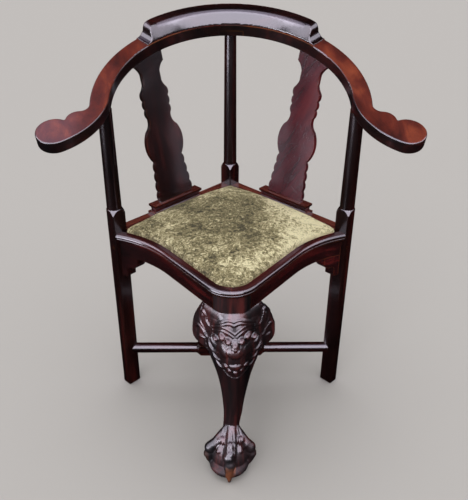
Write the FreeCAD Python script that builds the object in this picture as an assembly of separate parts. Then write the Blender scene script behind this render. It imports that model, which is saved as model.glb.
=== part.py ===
"""Corner chair of about 1750: turned posts, a sloping arm bow and a drop-in seat, in millimetres.

The chair stands on four legs set cornerwise: one cabriole leg in front and square legs left, right
and behind. +Z is up and -Y is the front; left and right are as seen from the front, right being +X.
The chair is drawn about the upright axis through the crossing of its stretchers, and moved at the
end so that the origin lies in the middle of its footprint, on the floor.
"""
import FreeCAD, Part
import math
import os

V = FreeCAD.Vector
UP = V(0, 0, 1)
ROOT_HALF = math.sqrt(0.5)

# Seat frame and straight legs
rail_top = 430.0
rail_depth = 56.0
leg_reach = 251.0
leg_side = 33.0
leg_outer_round = 14.0
leg_arris = 2.5
foot_chamfer = 1.5
block_rise = 34.0
block_stop = 20.0
column_foot = 32.0
column_head = 28.0
post_tenon = 20.0
post_tenon_length = 20.0

# Back rails and the ledge that the drop-in seat rests on
back_rail_inset = 3.0
back_rail_lip = 27.0
seat_rebate = 17.0
seat_ledge = 13.0

# Serpentine front rails. The front corner stands a little nearer the axis than the straight legs.
front_set_in = 6.0
hollow_radius = 240.0
leg_end_angle = 20.0
flank_angle = 52.0
moulding_overhang = 9.0
moulding_width = 17.0
nose_radius = 8.0
bead_size = 3.5
front_rail_thickness = 26.0
stump_half_width = 37.0

# Joints of the seat frame
rail_tenon_thickness = 9.0
rail_tenon_length = 17.0
rail_tenon_shoulder = 8.0
back_tenon_offset = 6.5
front_tenon_offset = -8.0
fit = 0.1
peg_diameter = 6.0

# Brackets under the front rails, beside the straight legs
bracket_height = 52.0
bracket_width = 38.0
bracket_toe = 11.0
bracket_thickness = 22.0
bracket_square = 15.0

# Corner blocks and their screws
corner_block_reach = 46.0
corner_block_height = 34.0
corner_block_lift = 2.0
screw_shank = 4.5
screw_head = 9.0
screw_head_height = 3.0
block_screw_setback = 43.0
block_screw_sink = 5.0
block_screw_length = 28.0

# Stretchers
stretcher_height = 100.0
stretcher_diameter = 25.0
stretcher_tenon = 15.0
stretcher_tenon_length = 14.0
crossing_side = 29.0
crossing_length = 165.0
crossing_stop = 10.0

# Arm bow, a flat board that slopes down to the front. It runs in a half circle about the axis, set
# in from the post centres, and swings out beyond them to the shoulders, cusps and pads.
arm_height = 729.0
arm_pitch = 22.0
arm_thickness = 27.0
bow_set_in = 13.0
bow_width = 38.0
pad_out = 80.0
pad_fall = 102.0
pad_radius = 34.5
elbow_drop = 26.0
shoulder_out = 40.0
shoulder_drop = 45.0
cusp_out = 64.0
notch_round = 2.0
arm_top_round = 3.0
arm_under_round = 3.5
lap_half = 28.0

# Crest rail on the back of the bow
crest_height = 30.0
crest_half_angle = 47.0
crest_cove_length = 38.0
crest_foot = 2.0
crest_inset = 1.0
crest_face_lean = 16.0
crest_round = 4.0
crest_toe_round = 0.5
crest_screw_angles = (12.0, 27.0)
crest_screw_length = 46.0

# Splats and their shoes
splat_thickness = 9.5
splat_shift = 4.0
splat_twist = 1.6
splat_top_set_in = 11.0
splat_foot_half = 48.0
splat_neck = (92.0, 39.0)
splat_belly = (129.0, 52.0)
splat_belly_end = (162.0, 42.0)
splat_throat = (190.0, 31.0)
splat_shoulder = (247.0, 34.0)
splat_waist = (281.0, 24.0)
splat_flare = (303.0, 40.0)
lobe_swell = 3.5
neck_lobes = 4
throat_lobes = 3
splat_tenon_thickness = 6.0
splat_tenon_width = 52.0
splat_tenon_length = 9.0
shoe_length = 146.0
shoe_height = 24.0
shoe_plinth = 6.0
shoe_lip = 5.0
shoe_waist = 4.0
shoe_lip_inset = 1.5

# Cabriole front leg. Each station gives its height, how far its middle stands forwards of the seat's
# front corner, its half width, its reach forwards and back, and the rounding of its front edge and
# of its other edges.
knee_stations = (
    (374.0, -51.0, 56.0, 40.0, 34.0, 38.0, 8.0),
    (345.0, -47.0, 58.0, 58.0, 35.0, 36.0, 8.0),
    (312.0, -40.0, 58.0, 66.0, 35.0, 32.0, 8.0),
    (278.0, -30.0, 55.0, 60.0, 33.0, 26.0, 11.0),
    (240.0, -19.0, 41.0, 45.0, 30.0, 20.0, 14.0),
    (200.0, -9.0, 29.0, 33.0, 26.0, 16.0, 13.0),
    (155.0, -1.0, 21.5, 24.0, 21.5, 13.0, 12.0),
    (115.0, 4.0, 18.0, 18.5, 18.0, 12.5, 12.5),
    (85.0, 8.0, 18.0, 18.0, 18.0, 12.5, 12.5),
    (66.0, 15.0, 24.0, 24.0, 22.0, 15.0, 15.0),
    (50.0, 23.0, 32.0, 32.0, 30.0, 18.0, 18.0),
)
ball_radius = 39.0
ball_height = 38.0
ball_forward = 29.0
toe_angles = (-90.0, -4.0, 90.0, 184.0)
toe_lift = 3.0
knuckles = ((64.0, 13.0), (40.0, 12.5), (10.0, 12.0))
talon_angle = -34.0
talon_radius = 9.0
talon_tip = 2.5
bone_share = 0.9

# Ears beside the knee, which carry its form outwards: heights, and half widths over both ears
ear_stations = (
    (374.0, 57.0),
    (362.0, 65.0),
    (345.0, 74.0),
    (322.0, 82.5),
    (300.0, 86.0),
    (286.0, 86.0),
    (277.0, 77.0),
    (271.0, 60.0),
)
ear_set_in = 1.0
ear_backing = 15.0
ear_edge_round = 10.0
ear_root = 40.0

# Drop-in seat
seat_gap = 1.0
cover_thickness = 1.5
seat_frame_thickness = 15.0
seat_frame_width = 42.0
seat_corner_round = 8.0
lap_thickness = seat_frame_thickness / 2
webbing_width = 48.0
webbing_thickness = 1.2
webbing_pitch = 62.0
straps_each_way = 5
base_cloth_thickness = 1.0
crown_height = 20.0
crown_radius = 1850.0
pad_edge_round = 7.0
tack_head = 6.0
tack_shank = 1.6
tack_length = 9.0
tack_head_thickness = 1.0
tack_inset = 21.0
tacks_a_side = 5
tack_corner_gap = 59.0
front_tacks = 4
front_tack_lead = 0.8
turn_under = 26.0


# Small drawing helpers


def deg(angle):
    return math.radians(angle)


def polygon_face(points):
    corners = [V(*p) for p in points]
    corners.append(corners[0])
    return Part.Face(Part.makePolygon(corners))


def rounded_outline(points, radii):
    """Closed wire through plane corners, each rounded by its own radius, as lines and arcs."""
    count = len(points)
    starts = []
    ends = []
    mids = []
    for i in range(count):
        corner = points[i]
        back = (points[i - 1] - corner).normalize()
        ahead = (points[(i + 1) % count] - corner).normalize()
        half = back.getAngle(ahead) / 2
        reach = radii[i] / math.tan(half)
        inward = (back + ahead).normalize()
        starts.append(corner + back * reach)
        ends.append(corner + ahead * reach)
        mids.append(corner + inward * (radii[i] / math.sin(half) - radii[i]))
    edges = []
    for i in range(count):
        edges.append(Part.Arc(starts[i], mids[i], ends[i]).toShape())
        edges.append(Part.LineSegment(ends[i], starts[(i + 1) % count]).toShape())
    return Part.Wire(edges)


def block(x0, x1, y0, y1, z0, z1):
    return Part.makeBox(x1 - x0, y1 - y0, z1 - z0, V(x0, y0, z0))


def prism(face, z0, z1):
    solid = face.extrude(V(0, 0, z1 - z0))
    solid.translate(V(0, 0, z0))
    return solid


def largest(shape):
    return max(shape.Solids, key=lambda solid: solid.Volume)


def mirrored(shape):
    return shape.mirror(V(0, 0, 0), V(1, 0, 0))


def turned(shape, angle, axis=UP, centre=V(0, 0, 0)):
    copy = shape.copy()
    copy.rotate(centre, axis, angle)
    return copy


def moved(shape, x, y, z):
    copy = shape.copy()
    copy.translate(V(x, y, z))
    return copy


# The sloping frame of the arm bow: x across, y up the slope, z out of its top face


arm_place = FreeCAD.Placement(V(0, 0, arm_height), FreeCAD.Rotation(V(1, 0, 0), arm_pitch))
bow_inner = leg_reach - bow_set_in
bow_outer = bow_inner + bow_width
bow_middle = bow_inner + bow_width / 2
pad_reach = leg_reach + pad_out
beyond = 2 * (pad_reach + pad_radius)


def on_slope(shape):
    placed = shape.copy()
    placed.Placement = arm_place.multiply(placed.Placement)
    return placed


def under_bow(depth):
    """Everything below a plane that lies this far up into the arm from its underside."""
    return on_slope(block(-beyond, beyond, -beyond, beyond, -2 * beyond, depth - arm_thickness))


def bow_point(radius, angle, z=0.0):
    """A point of the bow, at an angle from the middle of the back towards +X."""
    return V(radius * math.sin(deg(angle)), radius * math.cos(deg(angle)), z)


# Plan of the serpentine front


front_reach = leg_reach - front_set_in
hollow_start = V(leg_reach - leg_arris, -leg_side * ROOT_HALF, 0)


def flank_normal(angle):
    return V(math.sin(deg(angle)), -math.cos(deg(angle)), 0)


hollow_centre = hollow_start + flank_normal(leg_end_angle) * hollow_radius
hollow_end = hollow_centre - flank_normal(flank_angle) * hollow_radius
corner_radius = (
    hollow_end.x * math.sin(deg(flank_angle))
    - (front_reach + hollow_end.y) * math.cos(deg(flank_angle))
) / (1 - math.cos(deg(flank_angle)))
corner_centre = V(0, corner_radius - front_reach, 0)
run_out_angle = leg_end_angle / 4


def hollow_point(inset, angle):
    return hollow_centre - flank_normal(angle) * (hollow_radius + inset)


def corner_point(inset, angle):
    return corner_centre + flank_normal(angle) * (corner_radius - inset)


def front_tip(inset):
    """Middle of the front curve: the round corner's tip, or where the flanks meet within it."""
    if inset < corner_radius:
        return corner_point(inset, 0)
    flank = hollow_point(inset, flank_angle)
    return V(0, flank.y - flank.x * math.tan(deg(flank_angle)), 0)


def serpentine(inset):
    """Edges of the front curve from beyond the right leg to the middle, set in by a distance."""
    middle_angle = (run_out_angle + flank_angle) / 2
    flank_start = hollow_point(inset, flank_angle)
    hollow = Part.Arc(hollow_point(inset, run_out_angle), hollow_point(inset, middle_angle), flank_start)
    if inset >= corner_radius:
        return [hollow.toShape(), Part.LineSegment(flank_start, front_tip(inset)).toShape()]
    flank = Part.LineSegment(flank_start, corner_point(inset, flank_angle))
    corner = Part.Arc(corner_point(inset, flank_angle), corner_point(inset, flank_angle / 2),
                      front_tip(inset))
    return [hollow.toShape(), flank.toShape(), corner.toShape()]


def front_band(outer_inset, inner_inset, z0, z1):
    """Right half of a band that follows the front curve between two insets."""
    outer = serpentine(outer_inset)
    inner = serpentine(inner_inset)
    middle = Part.LineSegment(front_tip(outer_inset), front_tip(inner_inset)).toShape()
    end = Part.LineSegment(hollow_point(inner_inset, run_out_angle),
                           hollow_point(outer_inset, run_out_angle)).toShape()
    wire = Part.Wire(outer + [middle] + inner[::-1] + [end])
    return prism(Part.Face(wire), z0, z1)


def frieze_depth(x):
    """Distance in front of the chair's axis at which the front rail's face passes this width."""
    flank = corner_point(moulding_overhang, flank_angle)
    if x >= flank.x:
        return (flank.x - x) * math.tan(deg(flank_angle)) - flank.y
    return math.sqrt((corner_radius - moulding_overhang) ** 2 - x ** 2) - corner_centre.y


stump_back = frieze_depth(stump_half_width) - stump_half_width


def stump_space(z0, z1):
    """Corner space of the front leg's square block, which opens forwards."""
    corner = block(-front_reach, 0, -front_reach, 0, z0, z1)
    return moved(turned(corner, 45), 0, -stump_back, 0)


# Frames of the four rails, seen from above


half_span = leg_reach * ROOT_HALF
leg_face = half_span - leg_side / 2
leg_back = half_span + leg_side / 2
stump_edge = stump_back * ROOT_HALF


def back_right(shape):
    """From a rail's own frame, x towards the back leg and y outwards from the chair's axis."""
    return turned(mirrored(shape), -45)


def front_right(shape):
    """From a rail's own frame, x towards the front leg and y outwards from the chair's axis."""
    return turned(shape, -135)


# Straight legs, each drawn on the Z axis with its outer corner towards +X


def leg_turning(top):
    """Solid that the lathe leaves: full below the block's top, then a tapering column."""
    stop_low = rail_top + block_rise
    stop_high = stop_low + block_stop
    corner = leg_side * ROOT_HALF
    foot = column_foot / 2
    taper = (column_foot - column_head) / 2 / (arm_height - stop_high)
    head = foot - taper * (top - stop_high)
    bulge = V((corner + foot) / 2 + leg_arris / 2, 0, (stop_low + stop_high) / 2 + leg_arris)
    outline = [
        Part.LineSegment(V(0, 0, -1), V(leg_side, 0, -1)).toShape(),
        Part.LineSegment(V(leg_side, 0, -1), V(leg_side, 0, stop_low)).toShape(),
        Part.LineSegment(V(leg_side, 0, stop_low), V(corner, 0, stop_low)).toShape(),
        Part.Arc(V(corner, 0, stop_low), bulge, V(foot, 0, stop_high)).toShape(),
        Part.LineSegment(V(foot, 0, stop_high), V(head, 0, top)).toShape(),
        Part.LineSegment(V(head, 0, top), V(0, 0, top)).toShape(),
        Part.LineSegment(V(0, 0, top), V(0, 0, -1)).toShape(),
    ]
    return Part.Face(Part.Wire(outline)).revolve(V(0, 0, 0), UP, 360)


def straight_leg():
    top = arm_height + leg_reach
    half = leg_side / 2
    corners = [V(half, -half, 0), V(half, half, 0), V(-half, half, 0), V(-half, -half, 0)]
    outline = rounded_outline(corners, [leg_outer_round, leg_arris, leg_arris, leg_arris])
    square = prism(Part.Face(outline), 0, top)
    soles = [e for e in square.Edges if e.BoundBox.ZMax < fit]
    square = turned(square.makeChamfer(foot_chamfer, soles), 45)
    return square.common(leg_turning(top))


def leg_spot(angle):
    return V(leg_reach * math.cos(deg(angle)), leg_reach * math.sin(deg(angle)), 0)


def post_pin(angle, play=0.0):
    """Round tenon at a post's head or, with play, its socket in the arm."""
    foot = rail_top + block_rise + block_stop + column_foot
    spot = leg_spot(angle)
    pin = Part.makeCylinder(post_tenon / 2 + play, arm_height + leg_reach - foot, V(spot.x, spot.y, foot))
    return pin.common(under_bow(post_tenon_length + play))


def upright(angle):
    """A straight leg at its corner of the chair, cut to the arm's slope and tenoned into it."""
    spot = leg_spot(angle)
    leg = moved(turned(straight_leg(), angle), spot.x, spot.y, 0).common(under_bow(0))
    return leg.fuse(post_pin(angle)).removeSplitter()


# Tenons of the rails and their pegs


def rail_tenon(x0, x1, offset, play=0.0):
    """A stretch of tenon in a rail's own frame."""
    low = rail_top - rail_depth + rail_tenon_shoulder - play
    high = rail_top - seat_rebate - rail_tenon_shoulder + play
    half = rail_tenon_thickness / 2 + play
    middle = half_span + offset
    return block(x0, x1, middle - half, middle + half, low, high)


def back_tenons(play=0.0):
    tip = leg_face + rail_tenon_length + play
    near = rail_tenon(-tip, -leg_face + leg_arris, back_tenon_offset, play)
    far = rail_tenon(leg_face - leg_arris, tip, back_tenon_offset, play)
    return back_right(near).fuse(back_right(far))


def front_tenons(play=0.0):
    near = rail_tenon(-leg_face - rail_tenon_length - play, -leg_face + leg_arris,
                      front_tenon_offset, play)
    far = rail_tenon(stump_edge - leg_arris, stump_edge + rail_tenon_length + play,
                     front_tenon_offset, play)
    return front_right(near).fuse(front_right(far))


# Rails


def back_rail():
    """Straight rail, right-hand side, with the ledge of the seat rebate along its inner edge."""
    outer = leg_back - back_rail_inset
    lip = outer - back_rail_lip
    inner = lip - seat_ledge
    low = rail_top - rail_depth
    ledge = rail_top - seat_rebate
    section = polygon_face([(-leg_face, inner, low), (-leg_face, outer, low), (-leg_face, outer, rail_top),
                            (-leg_face, lip, rail_top), (-leg_face, lip, ledge), (-leg_face, inner, ledge)])
    bar = back_right(section.extrude(V(2 * leg_face, 0, 0)))
    mitred = bar.common(block(0, 2 * leg_reach, 0, 2 * leg_reach, low, rail_top))
    return mitred.fuse(back_tenons()).removeSplitter()


def front_rail():
    """Serpentine rail, right-hand side, between the straight leg and the front leg's block."""
    low = rail_top - rail_depth
    high = rail_top - seat_rebate
    band = front_band(moulding_overhang, moulding_overhang + front_rail_thickness, low, high)
    length = block(-leg_face, stump_edge, 0, 2 * leg_reach, low, high)
    mitred = band.common(front_right(length)).common(block(0, 2 * leg_reach, -2 * leg_reach, 0, low, high))
    return mitred.fuse(front_tenons()).removeSplitter()


def seat_moulding():
    """Moulded lip on the right front rail: a rounded nose over two small beads."""
    ledge = rail_top - seat_rebate
    nose = rail_top - nose_radius
    soften = nose_radius * (1 - ROOT_HALF)
    proud = (moulding_overhang - bead_size) / 2
    quirk = proud + bead_size / 4
    start = hollow_point(0, run_out_angle)
    inward = -flank_normal(run_out_angle)

    def at(inset, z):
        return start + inward * inset + V(0, 0, z)

    edges = [
        Part.LineSegment(at(quirk, ledge), at(moulding_width, ledge)).toShape(),
        Part.LineSegment(at(moulding_width, ledge), at(moulding_width, rail_top)).toShape(),
        Part.LineSegment(at(moulding_width, rail_top), at(nose_radius, rail_top)).toShape(),
        Part.Arc(at(nose_radius, rail_top), at(soften, rail_top - soften), at(0, nose)).toShape(),
        Part.LineSegment(at(0, nose), at(quirk, nose)).toShape(),
    ]
    for level in (nose, nose - bead_size):
        edges.append(Part.Arc(at(quirk, level), at(proud, level - bead_size / 2),
                              at(quirk, level - bead_size)).toShape())
    edges.append(Part.LineSegment(at(quirk, nose - 2 * bead_size), at(quirk, ledge)).toShape())
    section = Part.Face(Part.Wire(edges))
    sweep = flank_angle - run_out_angle
    hollow = section.revolve(hollow_centre, UP, sweep)
    run = corner_point(0, flank_angle) - hollow_point(0, flank_angle)
    section = turned(section, sweep, UP, hollow_centre)
    flank = section.extrude(run)
    corner = moved(section, run.x, run.y, 0).revolve(corner_centre, UP, -flank_angle)
    lip = hollow.fuse(flank).fuse(corner).removeSplitter()
    waste = front_right(block(-2 * leg_face, -leg_face, 0, 2 * leg_reach, 0, 2 * rail_top))
    return lip.cut(waste)


def leg_bracket():
    """Shaped bracket under the right front rail, glued to the leg's face."""
    top = rail_top - rail_depth
    low = top - bracket_height
    corner = top - bracket_square
    wide = -leg_face + bracket_width
    toe = -leg_face + bracket_toe
    waist = (wide + toe) / 2
    swell = (wide - toe) / 6
    bend = corner - (wide - toe) / 2
    cusp = bend - swell
    edges = [
        Part.LineSegment(V(-leg_face, 0, low), V(-leg_face, 0, top)).toShape(),
        Part.LineSegment(V(-leg_face, 0, top), V(wide, 0, top)).toShape(),
        Part.LineSegment(V(wide, 0, top), V(wide, 0, corner)).toShape(),
        Part.Arc(V(wide, 0, corner), V((wide + waist + swell) / 2, 0, (corner + bend - swell) / 2),
                 V(waist, 0, bend)).toShape(),
        Part.Arc(V(waist, 0, bend), V((waist + toe - swell) / 2, 0, (bend + cusp + swell) / 2),
                 V(toe, 0, cusp)).toShape(),
        Part.LineSegment(V(toe, 0, cusp), V(toe, 0, low)).toShape(),
        Part.LineSegment(V(toe, 0, low), V(-leg_face, 0, low)).toShape(),
    ]
    plate = front_right(Part.Face(Part.Wire(edges)).extrude(V(0, 2 * leg_reach, 0)))
    band = front_band(moulding_overhang, moulding_overhang + bracket_thickness, low, top)
    return plate.common(band)


def rail_pegs(play=0.0):
    """Pegs through the six tenons in the straight legs, or with play their holes."""
    reach = rail_tenon_length / 2
    height = rail_top - rail_depth / 2 - seat_rebate / 2
    front_depth = leg_side / 2 - front_tenon_offset + rail_tenon_thickness
    back_depth = leg_side / 2 - back_tenon_offset + rail_tenon_thickness / 2
    spots = [
        (back_right, -leg_face - reach, back_depth),
        (back_right, leg_face + reach, back_depth),
        (front_right, -leg_face - reach, front_depth),
    ]
    pegs = []
    for place, along, depth in spots:
        start = V(along, leg_back - depth - play, height)
        peg = Part.makeCylinder(peg_diameter / 2 + play, depth + 2 * play, start, V(0, 1, 0))
        pegs.append(place(peg))
    return pegs + [mirrored(p) for p in pegs]


# Corner blocks in the seat frame


def inside_front(inset, z0, z1):
    """Right half of the space behind the front curve, set in by a distance."""
    curve = serpentine(inset)
    start = hollow_point(inset, run_out_angle)
    front = front_tip(inset)
    rear = V(0, 2 * leg_reach, 0)
    side = V(start.x, 2 * leg_reach, 0)
    closing = [Part.LineSegment(front, rear).toShape(), Part.LineSegment(rear, side).toShape(),
               Part.LineSegment(side, start).toShape()]
    return prism(Part.Face(Part.Wire(curve + closing)), z0, z1)


def seat_plan(front_inset, back_reach, z0, z1):
    """Space inside the seat frame: behind the front curve and inside both back rails."""
    half = inside_front(front_inset, z0, z1)
    wall = back_right(block(-2 * leg_reach, 2 * leg_reach, -2 * leg_reach, back_reach, z0, z1))
    right = half.common(wall)
    return right.fuse(mirrored(right)).removeSplitter()


back_inner = leg_back - back_rail_inset - back_rail_lip - seat_ledge


def corner_well():
    low = rail_top - rail_depth + corner_block_lift
    return seat_plan(moulding_overhang + front_rail_thickness, back_inner, low, low + corner_block_height)


block_tip = back_inner / ROOT_HALF
block_screw_along = back_inner - block_screw_setback
block_screw_start = (block_tip - corner_block_reach) / ROOT_HALF - block_screw_along + block_screw_sink


def block_screw(place, along, play=0.0):
    """A screw square into a rail, sunk in its block's open face, or with play its bored hole."""
    height = rail_top - rail_depth + corner_block_lift + corner_block_height / 2
    head = V(along, block_screw_start, height)
    shank = Part.makeCylinder(screw_shank / 2 + play, block_screw_length + play, head, V(0, 1, 0))
    cap_start = head - V(0, screw_head, 0) * (1 if play else 0)
    cap_length = (head - cap_start).Length + screw_head_height + play
    cap = Part.makeCylinder(screw_head / 2 + play, cap_length, cap_start, V(0, 1, 0))
    return place(shank.fuse(cap).removeSplitter())


def block_screws(play=0.0):
    """Two screws in each of the three corner blocks."""
    screws = [
        block_screw(back_right, -block_screw_along, play),
        block_screw(back_right, block_screw_along, play),
        block_screw(front_right, -block_screw_along, play),
    ]
    return screws + [mirrored(s) for s in screws]


def corner_block(leg, space):
    """Glued block in a corner of the seat frame, with its two bored holes."""
    solid = corner_well().common(space).cut(leg)
    for hole in block_screws(fit):
        solid = solid.cut(hole)
    return solid


def side_corner_block(leg):
    start = block_tip - corner_block_reach
    return corner_block(leg, block(start, 2 * leg_reach, -leg_reach, leg_reach, 0, rail_top))


def back_corner_block(leg):
    start = block_tip - corner_block_reach
    return corner_block(leg, block(-leg_reach, leg_reach, start, 2 * leg_reach, 0, rail_top))


# Crossing stretchers


def stretcher(length_low, length_high, keep_low):
    """Round stretcher along X with a square middle, halved for its crossing."""
    radius = stretcher_diameter / 2
    half = crossing_side / 2
    bar = Part.makeCylinder(radius, length_high - length_low, V(length_low, 0, stretcher_height), V(1, 0, 0))
    middle = block(-crossing_length / 2, crossing_length / 2, -half, half,
                   stretcher_height - half, stretcher_height + half)
    full = half / ROOT_HALF
    end = crossing_length / 2
    outline = polygon_face([(-end, 0, 0), (-end, 0, radius), (crossing_stop - end, 0, full),
                            (end - crossing_stop, 0, full), (end, 0, radius), (end, 0, 0)])
    envelope = moved(outline.revolve(V(0, 0, 0), V(1, 0, 0), 360), 0, 0, stretcher_height)
    bar = bar.fuse(middle.common(envelope)).removeSplitter()
    z0 = stretcher_height if keep_low else stretcher_height - crossing_side
    return bar.cut(block(-half, half, -crossing_side, crossing_side, z0, z0 + crossing_side))


def stretcher_pin(tip, inwards, play=0.0):
    """Round tenon along X that ends at the tip and runs inwards to the stretcher."""
    length = (stretcher_tenon_length + stretcher_diameter) + play
    start = V(tip + inwards * -play, 0, stretcher_height)
    return Part.makeCylinder(stretcher_tenon / 2 + play, length, start, V(inwards, 0, 0))


leg_corner = leg_reach - leg_side * ROOT_HALF
side_tip = leg_corner + stretcher_tenon_length + leg_arris


def side_stretcher(legs):
    bar = stretcher(-leg_reach, leg_reach, True)
    for leg in legs:
        bar = bar.cut(leg)
    bar = largest(bar)
    return bar.fuse(stretcher_pin(side_tip, -1)).fuse(stretcher_pin(-side_tip, 1)).removeSplitter()


def depth_stretcher(back_leg, front_leg):
    """The other stretcher, from the cabriole leg's ankle to the back leg, along Y."""
    bar = turned(stretcher(-leg_reach, leg_reach, False), 90)
    bar = bar.cut(back_leg).cut(front_leg)
    bar = largest(bar)
    rear = turned(stretcher_pin(side_tip, -1), 90)
    front = turned(stretcher_pin(-ankle_tip, 1), 90)
    return bar.fuse(rear).fuse(front).removeSplitter()


# Cabriole leg


def station_outline(height, forward, half, ahead, behind, front_round, edge_round):
    """One cross-section: a diamond with rounded corners, as the leg is sawn from square stock."""
    beyond_round = math.sqrt(2) - 1
    depth = front_reach + forward
    front = -depth - ahead - front_round * beyond_round
    side = half + edge_round * beyond_round
    rear = -depth + behind + edge_round * beyond_round
    corners = [V(0, front, height), V(side, -depth, height), V(0, rear, height), V(-side, -depth, height)]
    return rounded_outline(corners, [front_round, edge_round, edge_round, edge_round])


def station_at(height):
    """The leg's station at a height, between its two nearest drawn ones."""
    above = [k for k in knee_stations if k[0] >= height][-1]
    below = [k for k in knee_stations if k[0] <= height][0]
    if above is below:
        return above
    share = (height - below[0]) / (above[0] - below[0])
    return [low + share * (high - low) for low, high in zip(below, above)]


ankle = station_at(stretcher_height)
ankle_tip = front_reach + ankle[1] - ankle[4] + stretcher_tenon_length
ball_centre = V(0, -front_reach - ball_forward, ball_height)


def toe(angle):
    """One toe of the foot: knuckles down the side of the ball, and a talon that grips it."""
    out = V(math.cos(deg(angle)), math.sin(deg(angle)), 0)

    def over_ball(lift, elevation):
        way = out * math.cos(deg(elevation)) + UP * math.sin(deg(elevation))
        return ball_centre + way * (ball_radius + lift)

    def along(elevation):
        return out * math.sin(deg(elevation)) - UP * math.cos(deg(elevation))

    shape = None
    last = None
    for elevation, radius in knuckles:
        spot = over_ball(toe_lift, elevation)
        ball = Part.makeSphere(radius, spot, along(elevation))
        if shape is None:
            shape = ball
        else:
            way = spot - last[0]
            bone = Part.makeCone(last[1] * bone_share, radius * bone_share, way.Length, last[0], way)
            shape = shape.fuse(ball).fuse(bone)
        last = (spot, radius)
    tip = over_ball(talon_tip, talon_angle)
    talon = Part.makeCone(talon_radius, talon_tip, (tip - last[0]).Length, last[0], tip - last[0])
    return shape.fuse(talon).fuse(Part.makeSphere(talon_tip, tip, along(talon_angle)))


def cabriole_leg():
    """Front leg from one piece: corner block, knee, ankle, and a foot that grips a ball."""
    low = rail_top - rail_depth
    high = rail_top - seat_rebate
    stations = [station_outline(*k) for k in knee_stations]
    shaft = Part.makeLoft(stations, True, False)
    half = inside_front(moulding_overhang, low, high)
    head = half.fuse(mirrored(half)).removeSplitter().common(stump_space(low, high))
    ball = Part.makeSphere(ball_radius, ball_centre)
    leg = shaft.fuse(head).fuse(ball)
    for angle in toe_angles:
        leg = leg.fuse(toe(angle))
    above_floor = block(-leg_reach, leg_reach, -2 * leg_reach, 0, 0, rail_top)
    leg = leg.common(above_floor)
    sockets = front_tenons(fit)
    leg = leg.cut(sockets).cut(mirrored(sockets))
    return leg.cut(turned(stretcher_pin(-ankle_tip, 1, fit), 90)).removeSplitter()


def ear_outline(height, half_width):
    """Cross-section over both ears: the knee's front faces carried outwards, a little set in."""
    _, forward, half, ahead, behind, front_round, _ = station_at(height)
    slope = ahead / half
    back_by = (half_width - half) * slope + ear_set_in * math.hypot(1, slope)
    return station_outline(height, forward - back_by, half_width, half_width * slope,
                           behind + ear_backing, front_round, ear_edge_round)


def knee_ear(leg):
    """Ear beside the knee, right-hand side, glued to the leg and under the front rail."""
    wings = Part.makeLoft([ear_outline(*station) for station in ear_stations], True, False)
    side = block(ear_root, leg_reach, -2 * leg_reach, 0, 0, rail_top)
    return largest(wings.common(side).cut(leg))


# Arm bow, drawn in the plane of its top face


def tangent_arc(start, tangent, end):
    """Arc from a point and a direction to an end point, in the plane z = 0."""
    chord = end - start
    side = UP.cross(tangent)
    radius = chord.dot(chord) / (2 * chord.dot(side))
    centre = start + side * radius
    middle = centre + ((start + end) * 0.5 - centre).normalize() * abs(radius)
    return Part.Arc(start, middle, end).toShape()


pad_centre = V(pad_reach, -pad_fall, 0)
crook_radius = (
    (pad_reach - bow_inner) ** 2 + pad_fall ** 2 - pad_radius ** 2
) / (2 * (pad_reach - bow_inner - pad_radius))
crook_centre = V(bow_inner + crook_radius, 0, 0)
cusp_rise = math.sqrt(pad_radius ** 2 - (pad_out - cusp_out) ** 2)
cusp = V(leg_reach + cusp_out, cusp_rise - pad_fall, 0)


def arm_outline():
    """Right arm from the crest's end round the pad and back along the inner edge."""
    elbow = V(math.sqrt(bow_outer ** 2 - elbow_drop ** 2), -elbow_drop, 0)
    elbow_angle = 90 + math.degrees(math.asin(elbow_drop / bow_outer))
    heading = V(-elbow_drop / bow_outer, -elbow.x / bow_outer, 0)
    shoulder = V(leg_reach + shoulder_out, -shoulder_drop, 0)
    turned_by = 2 * math.degrees((shoulder - elbow).getAngle(heading))
    at_shoulder = FreeCAD.Rotation(UP, turned_by).multVec(heading)
    heel_way = (pad_centre - crook_centre).normalize()
    heel = pad_centre + heel_way * pad_radius
    crook_way = (heel_way + V(-1, 0, 0)).normalize()
    inner_start = V(bow_inner, 0, 0)
    turn = crest_half_angle
    outer_middle = bow_point(bow_outer, (turn + elbow_angle) / 2)
    return [
        Part.Arc(bow_point(bow_outer, turn), outer_middle, elbow).toShape(),
        tangent_arc(elbow, heading, shoulder),
        tangent_arc(shoulder, at_shoulder, cusp),
        Part.Arc(cusp, pad_centre + V(pad_radius, 0, 0), heel).toShape(),
        Part.Arc(heel, crook_centre + crook_way * crook_radius, inner_start).toShape(),
        Part.Arc(inner_start, bow_point(bow_inner, (turn + 90) / 2), bow_point(bow_inner, turn)).toShape(),
        Part.LineSegment(bow_point(bow_inner, turn), bow_point(bow_outer, turn)).toShape(),
    ]


def bow_sector(inner, outer, low_angle, high_angle):
    """Face of a stretch of the bow between two angles."""
    angles = (low_angle, (low_angle + high_angle) / 2, high_angle)
    far = [bow_point(outer, angle) for angle in angles]
    near = [bow_point(inner, angle) for angle in angles]
    edges = [
        Part.Arc(*far).toShape(),
        Part.LineSegment(far[-1], near[-1]).toShape(),
        Part.Arc(*near[::-1]).toShape(),
        Part.LineSegment(near[0], far[0]).toShape(),
    ]
    return Part.Face(Part.Wire(edges))


def rims_at(solid, z, seam):
    """Edges of the solid that lie flat at a height, except the one at the seam."""
    flat = [e for e in solid.Edges if abs(e.BoundBox.ZMax - z) < fit and abs(e.BoundBox.ZMin - z) < fit]
    return [e for e in flat if (V(e.CenterOfMass.x, e.CenterOfMass.y, 0) - seam).Length > fit]


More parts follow.
